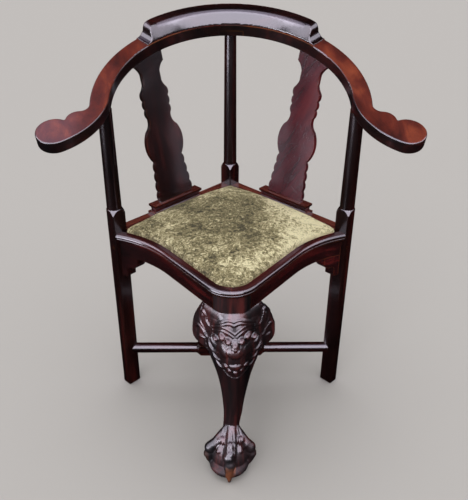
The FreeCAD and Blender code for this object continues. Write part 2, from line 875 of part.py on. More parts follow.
def arm_blank():
    """Right arm with its rounded edges, and its half of the back up to beyond the middle."""
    grip = prism(Part.Face(Part.Wire(arm_outline())), -arm_thickness, 0)
    notch = [e for e in grip.Edges if (e.CenterOfMass - cusp).Length < arm_thickness]
    notch = [e for e in notch if e.BoundBox.ZMax - e.BoundBox.ZMin > arm_thickness - fit]
    grip = grip.makeFillet(notch_round, notch)
    seam = bow_point(bow_middle, crest_half_angle)
    grip = grip.makeFillet(arm_top_round, rims_at(grip, 0, seam))
    grip = grip.makeFillet(arm_under_round, rims_at(grip, -arm_thickness, seam))
    past = math.degrees(math.asin(2 * lap_half / bow_inner))
    rear = prism(bow_sector(bow_inner, bow_outer, -past, crest_half_angle), -arm_thickness, 0)
    rear = rear.common(block(-lap_half, bow_outer, 0, bow_outer, -arm_thickness, 0))
    low_rims = [e for e in rims_at(rear, -arm_thickness, seam) if e.Length > bow_width + lap_half]
    rear = rear.makeFillet(arm_under_round, low_rims)
    return grip.fuse(rear).removeSplitter()


def arm(upper_lap):
    """Right arm, halved over or under the other where they meet behind the sitter."""
    shape = arm_blank()
    low = -arm_thickness / 2
    if upper_lap:
        waste = block(-lap_half, lap_half, 0, 2 * bow_outer, -arm_thickness, low)
    else:
        waste = block(-lap_half, lap_half, 0, 2 * bow_outer, low, 0)
    return on_slope(shape.cut(waste))


def crest_rail():
    """Crest: a shaped section along the back of the bow, coved down at both ends."""
    inner = bow_inner + crest_inset
    top_front = inner + crest_face_lean
    corners = [V(inner, 0, 0), V(bow_outer, 0, 0), V(bow_outer, 0, crest_height),
               V(top_front, 0, crest_height)]
    outline = rounded_outline(corners, [crest_toe_round, crest_toe_round, crest_round, crest_round])
    start = turned(Part.Face(outline), 90 + crest_half_angle)
    crest = start.revolve(V(0, 0, 0), UP, -2 * crest_half_angle)
    mid_run = crest_cove_length / 2
    mid_rise = (crest_foot + crest_height) / 2
    bend = mid_run / 3
    top = 2 * crest_height
    edges = [
        Part.LineSegment(V(-mid_run, 0, crest_foot), V(0, 0, crest_foot)).toShape(),
        Part.Arc(V(0, 0, crest_foot), V(mid_run / 2 + bend / 2, 0, crest_foot + bend / 2),
                 V(mid_run, 0, mid_rise)).toShape(),
        Part.Arc(V(mid_run, 0, mid_rise), V(1.5 * mid_run - bend / 2, 0, crest_height - bend / 2),
                 V(2 * mid_run, 0, crest_height)).toShape(),
        Part.LineSegment(V(2 * mid_run, 0, crest_height), V(2 * mid_run, 0, top)).toShape(),
        Part.LineSegment(V(2 * mid_run, 0, top), V(-mid_run, 0, top)).toShape(),
        Part.LineSegment(V(-mid_run, 0, top), V(-mid_run, 0, crest_foot)).toShape(),
    ]
    waste = moved(Part.Face(Part.Wire(edges)).extrude(V(0, bow_outer, 0)), 0, bow_inner / 2, 0)
    right = turned(mirrored(waste), -crest_half_angle)
    left = turned(waste, crest_half_angle)
    return on_slope(crest.cut(right).cut(left))


def crest_screws(play=0.0):
    """Screws up through the arms into the crest, with heads sunk in the arms' undersides."""
    screws = []
    for angle in [a * side for side in (-1, 1) for a in crest_screw_angles]:
        spot = bow_point(bow_middle, angle, -arm_thickness)
        shank = Part.makeCylinder(screw_shank / 2 + play, crest_screw_length + play, spot)
        head = Part.makeCone(screw_head / 2 + play, screw_shank / 2 + play, screw_head_height, spot)
        screws.append(on_slope(shank.fuse(head).removeSplitter()))
    return screws


# Splats and shoes


splat_base = rail_top + shoe_height
splat_base_reach = leg_back - back_rail_inset - back_rail_lip / 2
splat_top_reach = bow_middle - splat_top_set_in
splat_top = arm_height - arm_thickness / math.cos(deg(arm_pitch)) \
    + splat_top_reach * ROOT_HALF * math.tan(deg(arm_pitch))
splat_lean = math.degrees(math.atan2(splat_top_reach - splat_base_reach, splat_top - splat_base))


def splat_place(shape):
    """From the splat's own frame, x across it and z up it, to its place on the right rail."""
    leaned = turned(turned(shape, splat_twist, V(0, 1, 0)), -splat_lean, V(1, 0, 0))
    return turned(moved(leaned, splat_shift, splat_base_reach, splat_base), -45)


def lobes(start, end, count):
    """Small rounded lobes down an edge between two points, each ending in a cusp."""
    edges = []
    step = (end - start) * (1.0 / count)
    outward = V(step.z, 0, -step.x).normalize() * lobe_swell
    for i in range(count):
        a = start + step * i
        b = a + step
        edges.append(Part.Arc(a, (a + b) * 0.5 + outward, b).toShape())
    return edges


def splat_edge():
    """Right-hand edge of the splat from its foot to beyond the arm."""
    def at(pair):
        return V(pair[1], 0, pair[0])

    foot = V(splat_foot_half, 0, 0)
    neck = at(splat_neck)
    rise = V(splat_foot_half, 0, lobe_swell)
    top = V(splat_flare[1], 0, splat_flare[0] + 2 * bow_width)
    throat = at(splat_throat)
    belly_end = at(splat_belly_end)
    hollow = (belly_end + throat) * 0.5 - V(lobe_swell, 0, lobe_swell)
    edges = [Part.LineSegment(foot, rise).toShape()]
    edges += lobes(rise, neck, neck_lobes)
    edges.append(Part.Arc(neck, at(splat_belly), belly_end).toShape())
    edges.append(Part.Arc(belly_end, hollow, throat).toShape())
    edges += lobes(throat, at(splat_shoulder), throat_lobes)
    edges.append(Part.Arc(at(splat_shoulder), at(splat_waist), at(splat_flare)).toShape())
    edges.append(Part.LineSegment(at(splat_flare), top).toShape())
    return edges, foot, top


def above_shoe(sunk=0.0):
    """Everything above the shoes, or above a depth in them."""
    reach = 2 * leg_reach
    return block(-reach, reach, -reach, reach, splat_base - sunk, 2 * arm_height)


def splat_tenons(play=0.0):
    """Tongue through the splat's length, as its tenons at foot and head, or with play their slots."""
    half = splat_tenon_width / 2 + play
    thick = splat_tenon_thickness / 2 + play
    tongue = block(-half, half, -thick, thick, -2 * splat_tenon_length, splat_flare[0] + bow_width)
    depth = splat_tenon_length + play
    return splat_place(tongue).common(under_bow(depth)).common(above_shoe(depth))


def splat():
    """Vase splat with a lobed edge, tenoned into its shoe and into the arm."""
    edges, foot, top = splat_edge()
    left = [mirrored(e) for e in edges]
    sole = Part.LineSegment(V(-foot.x, 0, 0), foot).toShape()
    head = Part.LineSegment(top, V(-top.x, 0, top.z)).toShape()
    face = Part.Face(Part.Wire(Part.__sortEdges__(edges + left + [sole, head])))
    board = moved(face.extrude(V(0, splat_thickness, 0)), 0, -splat_thickness / 2, 0)
    body = splat_place(board).common(under_bow(0)).common(above_shoe())
    return body.fuse(splat_tenons()).removeSplitter()


def shoe_profile(half, height):
    """Half-and-half outline of a shoe: a square plinth, a hollow, and a lip."""
    lip = half - shoe_lip_inset
    waist = half - shoe_waist
    hollow_top = height - shoe_lip
    ledge = V(waist, 0, shoe_plinth)
    deepest = V(waist - shoe_lip_inset, 0, (shoe_plinth + hollow_top) / 2)
    edges = [
        Part.LineSegment(V(half, 0, 0), V(half, 0, shoe_plinth)).toShape(),
        Part.LineSegment(V(half, 0, shoe_plinth), ledge).toShape(),
        Part.Arc(ledge, deepest, V(lip, 0, hollow_top)).toShape(),
        Part.LineSegment(V(lip, 0, hollow_top), V(lip, 0, height)).toShape(),
    ]
    left = [mirrored(e) for e in edges]
    sole = Part.LineSegment(V(-half, 0, 0), V(half, 0, 0)).toShape()
    top = Part.LineSegment(V(lip, 0, height), V(-lip, 0, height)).toShape()
    return Part.Face(Part.Wire(Part.__sortEdges__(edges + left + [sole, top])))


def splat_shoe():
    """Moulded shoe on the back rail, with its profile worked along all four sides."""
    width = back_rail_lip
    along = shoe_profile(width / 2, shoe_height).extrude(V(0, 2 * shoe_length, 0))
    along = turned(moved(along, 0, -shoe_length, 0), 90)
    across = moved(shoe_profile(shoe_length / 2, shoe_height).extrude(V(0, width, 0)), 0, -width / 2, 0)
    shoe = along.common(across)
    placed = turned(moved(shoe, splat_shift, splat_base_reach, rail_top), -45)
    return placed.cut(splat_tenons(fit))


# Drop-in seat


seat_front = moulding_width + seat_gap
seat_back = leg_back - back_rail_inset - back_rail_lip - seat_gap
seat_sole = rail_top - seat_rebate
frame_low = seat_sole + cover_thickness
frame_high = frame_low + seat_frame_thickness
cloth_low = frame_high + 2 * webbing_thickness
pad_low = cloth_low + base_cloth_thickness
crown_top = rail_top + crown_height


def seat_field(inset, z0, z1):
    """Slab with the seat's outline, set in by a distance."""
    return seat_plan(seat_front + inset, seat_back - inset, z0, z1)


def seat_slab(inset, z0, z1):
    """The same slab with its side and back corners cut off and rounded, to clear the legs."""
    reach = leg_corner - seat_gap - inset / ROOT_HALF
    slab = seat_field(inset, z0, z1).common(block(-reach, reach, -2 * leg_reach, reach, z0, z1))
    upright_edges = [e for e in slab.Edges if e.BoundBox.ZMax - e.BoundBox.ZMin > z1 - z0 - fit]
    at_sides = [e for e in upright_edges if abs(e.CenterOfMass.x) > reach - fit]
    at_back = [e for e in upright_edges if e.CenterOfMass.y > reach - fit]
    return slab.makeFillet(seat_corner_round, at_sides + at_back)


def crowned(inset):
    """Upholstered form: the seat's outline under a shallow dome, its top edge rounded."""
    slab = seat_slab(inset, seat_sole + inset, crown_top + crown_height)
    centre = V(0, 0, crown_top - crown_radius)
    dome = Part.makeSphere(crown_radius - inset, centre, V(0, 1, 0))
    body = largest(slab.common(turned(dome, 180, V(0, 1, 0), centre)))
    crown = [f for f in body.Faces if isinstance(f.Surface, Part.Sphere)][0]
    return body.makeFillet(pad_edge_round - inset, crown.Edges)


def seat_pad():
    reach = 2 * leg_reach
    return crowned(cover_thickness).common(block(-reach, reach, -reach, reach, pad_low, reach))


def tack(spot, play):
    shank = Part.makeCylinder(tack_shank / 2 + play, tack_length + play, spot)
    if play:
        return shank
    head = Part.makeCylinder(tack_head / 2, tack_head_thickness, spot - UP * tack_head_thickness)
    return shank.fuse(head).removeSplitter()


def cover_tacks(play=0.0):
    """Tacks through the cover's turned-under edge, clear of the ledge it rests on."""
    spots = []
    last = seat_back - tack_corner_gap
    for step in range(tacks_a_side):
        along = V(last - 2 * last * step / (tacks_a_side - 1), seat_back - tack_inset, seat_sole)
        spots.append(FreeCAD.Rotation(UP, -45).multVec(along))
    for step in range(front_tacks):
        share = (step + front_tack_lead) / front_tacks
        angle = leg_end_angle + share * (flank_angle - leg_end_angle)
        spots.append(hollow_point(seat_front + tack_inset, angle) + V(0, 0, seat_sole))
    spots = spots + [V(-p.x, p.y, p.z) for p in spots]
    return [tack(p, play) for p in spots]


def seat_cover():
    """Cover over the pad and round the frame, turned under along its edge."""
    shell = crowned(0).cut(crowned(cover_thickness))
    shell = shell.cut(seat_field(turn_under, seat_sole - fit, frame_low + fit))
    for hole in cover_tacks(fit):
        shell = shell.cut(hole)
    return shell


def seat_ring():
    outer = seat_slab(cover_thickness, frame_low, frame_high)
    return outer.cut(seat_field(seat_frame_width, frame_low, frame_high))


def lap_start(inset):
    """Distance from the chair's axis at which the bars of the seat's frame begin to overlap."""
    return (seat_back - seat_frame_width) / ROOT_HALF - inset


def seat_bar(front, upper):
    """Right-hand bar of the seat's frame, front or back, halved at both of its ends."""
    ring = seat_ring()
    reach = 2 * leg_reach
    side_lap = largest(ring.common(block(lap_start(0), reach, -reach, reach, 0, reach)))
    if front:
        end_lap = largest(ring.common(block(-reach, reach, -reach, -lap_start(seat_front), 0, reach)))
        quarter = block(0, reach, -reach, 0, 0, reach)
    else:
        end_lap = largest(ring.common(block(-reach, reach, lap_start(0), reach, 0, reach)))
        quarter = block(0, reach, 0, reach, 0, reach)
    middle = (frame_low + frame_high) / 2
    half = block(-reach, reach, -reach, reach, middle, reach) if upper \
        else block(-reach, reach, -reach, reach, 0, middle)
    bar = ring.common(quarter).cut(side_lap).cut(end_lap)
    bar = bar.fuse(side_lap.common(half)).fuse(end_lap.common(half)).removeSplitter()
    for hole in cover_tacks(fit):
        bar = bar.cut(hole)
    return bar


def webbing():
    """Straps both ways across the seat's frame, one set over the other."""
    straps = []
    reach = 2 * leg_reach
    for layer, place in enumerate((back_right, front_right)):
        low = frame_high + layer * webbing_thickness
        field = seat_slab(webbing_thickness + seat_corner_round, low, low + webbing_thickness)
        for step in range(straps_each_way):
            middle = (step - (straps_each_way - 1) / 2) * webbing_pitch
            half = webbing_width / 2
            strap = block(middle - half, middle + half, -reach, reach, 0, reach)
            straps.append(field.common(place(strap)))
    return straps


def base_cloth():
    return seat_slab(seat_corner_round / 2, cloth_low, pad_low)


# The chair put together


def without(shape, holes):
    for hole in holes:
        shape = shape.cut(hole)
    return largest(shape.removeSplitter())


def both(shape):
    return [shape, mirrored(shape)]


def chair():
    """Every piece by its name, as a list of solids."""
    back_sockets = both(back_tenons(fit))
    front_sockets = both(front_tenons(fit))
    peg_holes = rail_pegs(fit)
    pin_sockets = [turned(stretcher_pin(side_tip, -1, fit), angle) for angle in (0, 90, 180)]
    leg_holes = back_sockets + front_sockets + peg_holes + pin_sockets
    right_leg = without(upright(0), leg_holes)
    back_leg = without(upright(90), leg_holes)
    front_leg = largest(cabriole_leg())

    screw_holes = block_screws(fit)
    right_back_rail = without(back_rail(), screw_holes + peg_holes)
    right_front_rail = without(front_rail(), screw_holes + peg_holes)

    post_sockets = [post_pin(angle, fit) for angle in (0, 90, 180)]
    arm_holes = both(splat_tenons(fit)) + crest_screws(fit) + post_sockets
    right_arm = without(arm(True), arm_holes)
    left_arm = without(mirrored(arm(False)), arm_holes)
    crest = without(crest_rail(), crest_screws(fit))

    pieces = {
        "front_leg": [front_leg],
        "back_leg": [back_leg],
        "side_stretcher": [side_stretcher(both(right_leg))],
        "depth_stretcher": [depth_stretcher(back_leg, front_leg)],
        "crest_rail": [crest],
        "right_arm": [right_arm],
        "left_arm": [left_arm],
        "back_corner_block": [back_corner_block(back_leg)],
        "corner_block_screws": block_screws(),
        "crest_screws": crest_screws(),
        "rail_pegs": rail_pegs(),
        "webbing": webbing(),
        "base_cloth": [base_cloth()],
        "seat_pad": [seat_pad()],
        "seat_cover": [seat_cover()],
        "cover_tacks": cover_tacks(),
        "seat_back_right_bar": [seat_bar(False, True)],
        "seat_front_right_bar": [seat_bar(True, False)],
        "seat_back_left_bar": [mirrored(seat_bar(False, False))],
        "seat_front_left_bar": [mirrored(seat_bar(True, True))],
    }
    pairs = {
        "leg": right_leg,
        "back_rail": right_back_rail,
        "front_rail": right_front_rail,
        "seat_moulding": seat_moulding(),
        "leg_bracket": leg_bracket(),
        "knee_ear": knee_ear(front_leg),
        "splat": splat(),
        "splat_shoe": splat_shoe(),
        "corner_block": side_corner_block(right_leg),
    }
    for name, shape in pairs.items():
        pieces["right_" + name] = [shape]
        pieces["left_" + name] = [mirrored(shape)]
    return {name: [largest(s) for s in shapes] for name, shapes in pieces.items()}


pieces = chair()
whole = Part.makeCompound([solid for solids in pieces.values() for solid in solids])
extent = whole.optimalBoundingBox(False, False)
os.makedirs("parts", exist_ok=True)
for name, solids in pieces.items():
    group = solids[0] if len(solids) == 1 else Part.makeCompound(solids)
    moved(group, 0, -(extent.YMin + extent.YMax) / 2, 0).exportStep("parts/" + name + ".step")
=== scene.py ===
import math

import bmesh
import bpy
import numpy as np
from mathutils import Matrix, Vector


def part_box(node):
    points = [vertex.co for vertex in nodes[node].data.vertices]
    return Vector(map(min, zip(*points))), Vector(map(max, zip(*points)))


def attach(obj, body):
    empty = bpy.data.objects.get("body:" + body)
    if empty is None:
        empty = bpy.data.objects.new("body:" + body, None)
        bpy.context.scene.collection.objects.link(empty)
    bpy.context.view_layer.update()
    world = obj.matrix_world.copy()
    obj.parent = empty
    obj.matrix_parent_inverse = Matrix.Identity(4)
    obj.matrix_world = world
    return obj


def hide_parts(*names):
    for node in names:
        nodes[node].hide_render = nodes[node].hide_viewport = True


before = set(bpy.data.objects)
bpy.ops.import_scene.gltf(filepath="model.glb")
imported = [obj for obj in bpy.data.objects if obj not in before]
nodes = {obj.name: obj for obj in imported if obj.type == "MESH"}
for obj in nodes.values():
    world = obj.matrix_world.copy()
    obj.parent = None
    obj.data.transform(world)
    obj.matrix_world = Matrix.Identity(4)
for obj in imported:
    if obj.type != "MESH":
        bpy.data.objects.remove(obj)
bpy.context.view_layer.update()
MM = 0.001


# Straight legs
# Left, right and back legs of close-grained mahogany, square below the seat and turned to tapering
# columns above it. They are stained nearly black-red and polished, with the rails tenoned in.

UPRIGHT = (0, math.radians(90), 0)
# Sockets of a Mix node that mixes colours: its factor, its two colours and its result.
MIX_FACTOR, MIX_FIRST, MIX_SECOND, MIX_RESULT = 0, 6, 7, 2


def colour(red, green, blue):
    """A colour as it looks on a screen, 0 to 255, as the shader wants it."""
    def linear(value):
        share = value / 255
        return share / 12.92 if share <= 0.04045 else ((share + 0.055) / 1.055) ** 2.4
    return linear(red), linear(green), linear(blue), 1


class Finish:
    """A procedural material under construction: its nodes are made and joined by short calls."""

    def __init__(self, name):
        self.material = bpy.data.materials.new(name)
        self.material.use_nodes = True
        self.tree = self.material.node_tree
        self.shader = self.tree.nodes["Principled BSDF"]
        self.place = self.add("ShaderNodeTexCoord").outputs["Object"]

    def add(self, kind, **settings):
        made = self.tree.nodes.new(kind)
        for key, value in settings.items():
            setattr(made, key, value)
        return made

    def put(self, socket, value):
        """Joins an output to the socket, or sets a plain number, vector or colour on it."""
        if isinstance(value, bpy.types.NodeSocket):
            self.tree.links.new(value, socket)
        else:
            socket.default_value = value

    def mapped(self, rotation=(0, 0, 0), scale=(1, 1, 1), source=None):
        made = self.add("ShaderNodeMapping")
        self.put(made.inputs["Vector"], source or self.place)
        made.inputs["Rotation"].default_value = rotation
        made.inputs["Scale"].default_value = scale
        return made.outputs["Vector"]

    def noise(self, vector, scale, detail=3.0, roughness=0.5, distortion=0.0):
        made = self.add("ShaderNodeTexNoise")
        self.put(made.inputs["Vector"], vector)
        for key, value in (("Scale", scale), ("Detail", detail), ("Roughness", roughness),
                           ("Distortion", distortion)):
            made.inputs[key].default_value = value
        return made.outputs["Fac"]

    def ramp(self, factor, stops):
        made = self.add("ShaderNodeValToRGB")
        self.put(made.inputs["Fac"], factor)
        elements = made.color_ramp.elements
        while len(elements) < len(stops):
            elements.new(1.0)
        for element, (position, shade) in zip(elements, stops):
            element.position = position
            element.color = shade
        return made.outputs["Color"]

    def spread(self, value, low, high, start=0.0, end=1.0):
        """The value's stretch from low to high, mapped smoothly onto start to end."""
        made = self.add("ShaderNodeMapRange", interpolation_type="SMOOTHSTEP")
        self.put(made.inputs["Value"], value)
        for key, number in (("From Min", low), ("From Max", high),
                            ("To Min", start), ("To Max", end)):
            made.inputs[key].default_value = number
        return made.outputs["Result"]

    def sums(self, operation, first, second):
        made = self.add("ShaderNodeMath", operation=operation)
        self.put(made.inputs[0], first)
        self.put(made.inputs[1], second)
        return made.outputs["Value"]

    def plus(self, first, second):
        return self.sums("ADD", first, second)

    def times(self, first, second):
        return self.sums("MULTIPLY", first, second)

    def mix(self, factor, first, second):
        made = self.add("ShaderNodeMix", data_type="RGBA")
        self.put(made.inputs[MIX_FACTOR], factor)
        self.put(made.inputs[MIX_FIRST], first)
        self.put(made.inputs[MIX_SECOND], second)
        return made.outputs[MIX_RESULT]

    def attribute(self, name):
        return self.add("ShaderNodeAttribute", attribute_name=name).outputs["Fac"]

    def edges(self, radius, flat=0.995, sharp=0.86):
        """1 on sharp edges and 0 on flat or gently curved faces. A face is flat or sharp by how far
        its bevelled normal agrees with its own."""
        bevel = self.add("ShaderNodeBevel", samples=6)
        bevel.inputs["Radius"].default_value = radius
        dot = self.add("ShaderNodeVectorMath", operation="DOT_PRODUCT")
        self.put(dot.inputs[0], bevel.outputs["Normal"])
        self.put(dot.inputs[1], self.add("ShaderNodeNewGeometry").outputs["Normal"])
        return self.spread(dot.outputs["Value"], flat, sharp)

    def upward(self, low=0.55, high=0.9):
        """1 on faces that look up, 0 on upright and hanging ones."""
        split = self.add("ShaderNodeSeparateXYZ")
        self.put(split.inputs[0], self.add("ShaderNodeNewGeometry").outputs["Normal"])
        return self.spread(split.outputs["Z"], low, high)

    def relief(self, height, strength, distance):
        made = self.add("ShaderNodeBump")
        made.inputs["Strength"].default_value = strength
        made.inputs["Distance"].default_value = distance
        self.put(made.inputs["Height"], height)
        self.put(self.shader.inputs["Normal"], made.outputs["Normal"])

    def shine(self, **settings):
        for key, value in settings.items():
            self.put(self.shader.inputs[key.replace("_", " ")], value)


DARK = colour(12, 4, 4)
RED_BROWN = colour(36, 11, 10)
RUSSET = colour(84, 25, 20)
WORN = colour(176, 98, 52)

STREAK_SHARE, CLOUD_SHARE = 0.68, 0.32
STREAK_STRETCH, CLOUD_STRETCH, PORE_STRETCH = (0.07, 1, 1), (0.5, 1, 1), (0.022, 1, 1)
CLOUD_SCALE, PORE_SCALE = 9.0, 900.0
TONE_STEPS = (0.36, 0.52, 0.70)
RUBBED_EDGE = 3.5 * MM


def polished_wood(name, grain, tones=(DARK, RED_BROWN, RUSSET), lit_tops=None, wear=0.14,
                  wear_tone=WORN, streaks=38.0, polish=0.2, seed=0.0):
    """Stained, polished mahogany: streaks and pores along the grain, lighter where edges are
    rubbed. Faces that look up may have lighter tones: painted light from above, which on the arms
    also stands for rubbing by hands."""
    finish = Finish(name)
    along = finish.mapped(rotation=grain)
    drawn_out = finish.mapped(scale=STREAK_STRETCH, source=along)
    streak = finish.noise(drawn_out, streaks, 6.0, 0.62, 0.35)
    cloud = finish.noise(finish.mapped(scale=CLOUD_STRETCH, source=along), CLOUD_SCALE + seed)
    figure = finish.plus(finish.times(streak, STREAK_SHARE), finish.times(cloud, CLOUD_SHARE))
    wood = finish.ramp(figure, list(zip(TONE_STEPS, tones)))
    # Painted light: faces that look up take the lighter tones, as if lit from above.
    if lit_tops:
        lit_from_above = finish.ramp(figure, list(zip(TONE_STEPS, lit_tops)))
        wood = finish.mix(finish.upward(), wood, lit_from_above)
    pores = finish.noise(finish.mapped(scale=PORE_STRETCH, source=along), PORE_SCALE, 2.0)
    pore = finish.spread(pores, 0.60, 0.68)
    wood = finish.mix(finish.times(pore, 0.55), wood, tones[0])
    rubbed = finish.times(finish.edges(RUBBED_EDGE), finish.spread(cloud, 0.30, 0.62))
    wood = finish.mix(finish.times(rubbed, wear), wood, wear_tone)
    gloss = finish.plus(finish.times(cloud, 0.16), polish - 0.06)
    finish.shine(Base_Color=wood, Roughness=gloss, Coat_Weight=0.5, Coat_Roughness=0.12, IOR=1.5)
    finish.relief(finish.sums("SUBTRACT", streak, pore), 0.12, 0.4 * MM)
    return finish.material


def dress(names, material):
    """Gives CAD nodes their only material."""
    for name in names:
        nodes[name].data.materials.clear()
        nodes[name].data.materials.append(material)


leg_wood = polished_wood("leg_mahogany", UPRIGHT)
dress(["left_leg", "right_leg", "back_leg"], leg_wood)


# Cabriole front leg and its ears
# One piece from the seat's corner down to a claw that grips a ball, with an ear glued on each side
# of the knee. A lion mask and curling leaves are carved over knee and ears. The numbers that shape
# carving and foot are in mm.

LEG_VOXEL = 1.35 * MM
LEG_SMOOTHING = 5
leg_axis_y = sum(corner.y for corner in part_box("left_leg")) / 2
# How far the old leg leans to the right at each height.
LEAN = ((0, -3), (60, -3), (100, 0), (130, 3), (200, 5), (280, 5), (340, 3), (374, 0))

# The carving's left half, as points across and up. The right half mirrors it about MASK_MIDDLE.
MASK_MIDDLE = 2.5
hair = (
    ((0, 360), (-10, 363), (-19, 360), (-29, 353), (-39, 346), (-46, 349)),
    ((0, 353), (-10, 357), (-20, 354), (-30, 346), (-36, 338)),
    ((-1, 337), (-10, 344), (-20, 348), (-31, 346), (-43, 336), (-53, 333)),
    ((-4, 332), (-12, 338), (-22, 341), (-33, 336), (-43, 326)),
)
leaves = (
    ((-62, 318), (-70, 330), (-69, 344), (-62, 358), (-57, 350), (-56, 340), (-50, 333),
     (-44, 330)),
    ((-63, 334), (-63, 345), (-58, 349)),
    ((-80, 298), (-79, 310), (-72, 318), (-64, 315), (-58, 306), (-51, 304)),
    ((-74, 286), (-70, 296), (-62, 297)),
)
whiskers = (
    ((-44, 322), (-47, 312), (-42, 304), (-34, 306)),
    ((-52, 306), (-52, 294), (-45, 286), (-36, 288), (-34, 295)),
    ((-46, 278), (-39, 272), (-31, 273)),
    ((-40, 266), (-34, 259), (-27, 257), (-22, 262)),
)
collar = ((-27, 254), (-18, 247), (-9, 242), (0, 240))
mouth = ((-19, 284), (-12, 279), (-5, 277), (0, 279))
nose_line = ((0, 296), (0, 288), (0, 280))
# Round forms: place across, place up, half width, half height and rise.
broad_forms = (
    (0, 303, 18, 15, 6.0),
    (0, 318, 9, 11, 5.0),
    (-26, 300, 13, 14, 3.0),
    (0, 270, 15, 9, 4.0),
    (-28, 344, 26, 12, 2.0),
)
beads = (
    (-26, 329, 7.5, 7.5, 8.5),
    (-13, 324, 7.0, 7.0, 8.5),
    (0, 317, 7.5, 7.5, 8.5),
    (-38, 318, 5.5, 5.5, 8.5),
    (-12, 261, 6, 5, 4.5),
    (-21, 268, 6, 5, 4.5),
    (0, 257, 6, 5, 4.5),
)
pits = ((-5, 309, 2.4, 2.0, -2.4), (-6, 297, 1.2, 1.2, -0.8), (-10, 301, 1.2, 1.2, -0.8))
# Ridges and grooves: their lines, rise and half width.
ridges = ((hair, 2.6, 4.0), (leaves, 3.0, 4.4), (whiskers, 3.2, 4.2))
grooves = ((mouth, -3.5, 2.6), (nose_line, -1.6, 1.8))
COLLAR_RISE, COLLAR_WIDTH = 1.6, 2.2

CARVING_BOTTOM, CARVING_TOP = 230, 368
KNEE_CORE_Y = -175
KNEE_FACE_Y = -150
FACE_FADE = 25
KNEE_TURN_Z, KNEE_TURN_SLOPE = 300, 0.35
FULLY_RAISED = 6


def merged_copy(name):
    """A CAD node's loose triangles as one joined mesh, with its place kept."""
    mesh = nodes[name].data.copy()
    shell = bmesh.new()
    shell.from_mesh(mesh)
    bmesh.ops.remove_doubles(shell, verts=shell.verts, dist=1e-6)
    shell.to_mesh(mesh)
    shell.free()
    mesh.materials.clear()
    return mesh


def new_piece(name, mesh):
    piece = bpy.data.objects.new(name, mesh)
    bpy.context.scene.collection.objects.link(piece)
    return piece


def mesh_from(shell, name):
    """Ends work on a shell and keeps it as a mesh."""
    mesh = bpy.data.meshes.new(name)
    shell.to_mesh(mesh)
    shell.free()
    return mesh


def finished(piece):
    """Turns the piece's modifiers into its plain mesh."""
    bpy.context.view_layer.update()
    evaluated = piece.evaluated_get(bpy.context.evaluated_depsgraph_get())
    mesh = bpy.data.meshes.new_from_object(evaluated)
    piece.modifiers.clear()
    piece.data = mesh
    return piece


def points_of(mesh):
    points = np.empty(len(mesh.vertices) * 3)
    mesh.vertices.foreach_get("co", points)
    return points.reshape(-1, 3)


def set_points(mesh, points):
    mesh.vertices.foreach_set("co", points.ravel())
    mesh.update()


def shade_smooth(piece):
    piece.data.polygons.foreach_set("use_smooth", [True] * len(piece.data.polygons))


def voxel_skin(piece, voxel):
    """Gives the piece one even skin over all its shells."""
    grid = piece.modifiers.new("grid", "REMESH")
    grid.mode = "VOXEL"
    grid.voxel_size = voxel


def rod(shell, start, end, start_radius, end_radius):
    """Adds a tapered rod with round ends to a shell."""
    way = end - start
    turn = way.to_track_quat("Z", "Y").to_matrix().to_4x4()
    middle = Matrix.Translation((start + end) / 2) @ turn
    bmesh.ops.create_cone(shell, cap_ends=True, segments=24, radius1=start_radius,
                          radius2=end_radius, depth=way.length, matrix=middle)
    for spot, radius in ((start, start_radius), (end, end_radius)):
        bmesh.ops.create_icosphere(shell, subdivisions=3, radius=radius,
                                   matrix=Matrix.Translation(spot))


def remeshed(name, node, voxel, smoothing, rods=(), pad=None):
    """A node's copy as one even skin, with rods and a flat round pad grown into it."""
    shell = bmesh.new()
    shell.from_mesh(merged_copy(node))
    for start, end, start_radius, end_radius in rods:
        rod(shell, Vector(start) * MM, Vector(end) * MM, start_radius * MM, end_radius * MM)
    if pad:
        middle, radii = pad
        stretch = Matrix.Diagonal((*[radius * MM for radius in radii], 1))
        bmesh.ops.create_icosphere(shell, subdivisions=4, radius=1,
                                   matrix=Matrix.Translation(Vector(middle) * MM) @ stretch)
    piece = new_piece(name, mesh_from(shell, name))
    voxel_skin(piece, voxel)
    soften = piece.modifiers.new("soften", "SMOOTH")
    soften.factor = 0.5
    soften.iterations = smoothing
    finished(piece)
    shade_smooth(piece)
    return piece


def curve_through(points, steps=8):
    """A smooth line through given points, as many short steps."""
    ends = [np.array(p, float) for p in points]
    ends = [2 * ends[0] - ends[1]] + ends + [2 * ends[-1] - ends[-2]]
    line = []
    for a, b, c, d in zip(ends, ends[1:], ends[2:], ends[3:]):
        for step in range(steps):
            t = step / steps
            line.append(0.5 * (2 * b + (c - a) * t + (2 * a - 5 * b + 4 * c - d) * t ** 2
                               + (3 * b - a - 3 * c + d) * t ** 3))
    line.append(ends[-2])
    return np.array(line)


def ridge(across, points, rise, width, taper=True):
    """A rounded ridge along a line, thinner at its ends; a negative rise makes a groove."""
    line = curve_through(points)
    best = np.zeros(len(across))
    count = len(line) - 1
    for i in range(count):
        a, b = line[i], line[i + 1]
        way = b - a
        along = np.clip(((across - a) @ way) / (way @ way), 0, 1)
        gap = np.linalg.norm(across - a - along[:, None] * way, axis=1)
        share = (i + along) / count
        fade = np.sin(np.pi * np.clip(share, 0.04, 0.96)) ** 0.5 if taper else np.ones(len(share))
        here = np.clip(1 - (gap / (width * (0.45 + 0.55 * fade))) ** 2, 0, 1) ** 1.5 * fade
        best = np.maximum(best, here)
    return best * rise


def knob(across, x, z, half_width, half_height, rise):
    """A round swelling; a negative rise makes a pit."""
    gap = ((across[:, 0] - x) / half_width) ** 2 + ((across[:, 1] - z) / half_height) ** 2
    return rise * np.clip(1 - gap, 0, 1) ** 0.75


